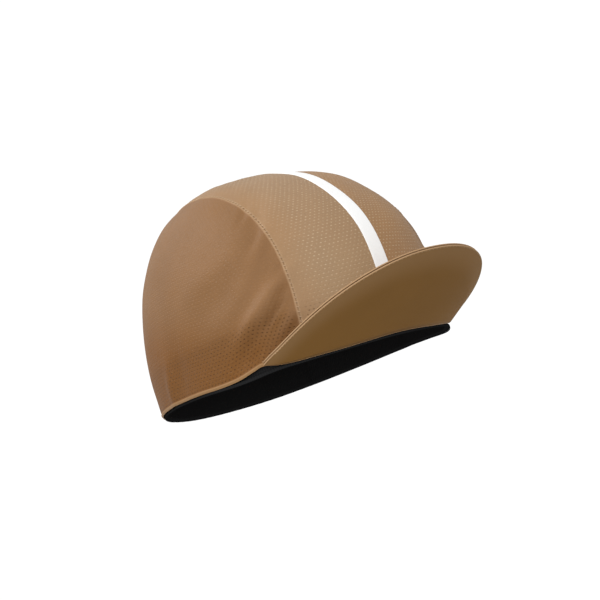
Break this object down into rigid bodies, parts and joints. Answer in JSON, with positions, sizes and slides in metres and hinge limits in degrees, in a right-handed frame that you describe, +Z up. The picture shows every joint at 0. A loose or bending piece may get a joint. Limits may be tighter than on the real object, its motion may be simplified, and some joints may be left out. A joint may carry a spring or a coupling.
{
  "type": "cycling cap",
  "caption": "Soft cycling cap with a three-panel crown, a short turned-up peak, a tape down the middle and a sweatband with an elastic back.",
  "frame": {"origin": "middle of the head opening, in the plane of the crown's lower edge, where a head carries the cap", "axes": "+Z up through the crown, -Y forward to the peak, -X to the wearer's right"},
  "size_m": [0.1658, 0.2395, 0.123],
  "materials": {
    "centre_cloth": "matte tan pique knit",
    "side_cloth": "matte tan fine knit with small holes near the hem",
    "tape_cloth": "smooth white tape",
    "peak_cloth": "smooth brown cloth over a stiff board",
    "band_cloth": "soft black band"
  },
  "bodies": {
    "root": {"centre_panel": "centre_cloth", "side_panel_right": "side_cloth", "side_panel_left": "side_cloth", "centre_tape": "tape_cloth", "peak_under_cover": "peak_cloth", "peak_top_cover": "side_cloth", "sweatband": "band_cloth", "rear_elastic": "band_cloth"}
  },
  "joints": []
}
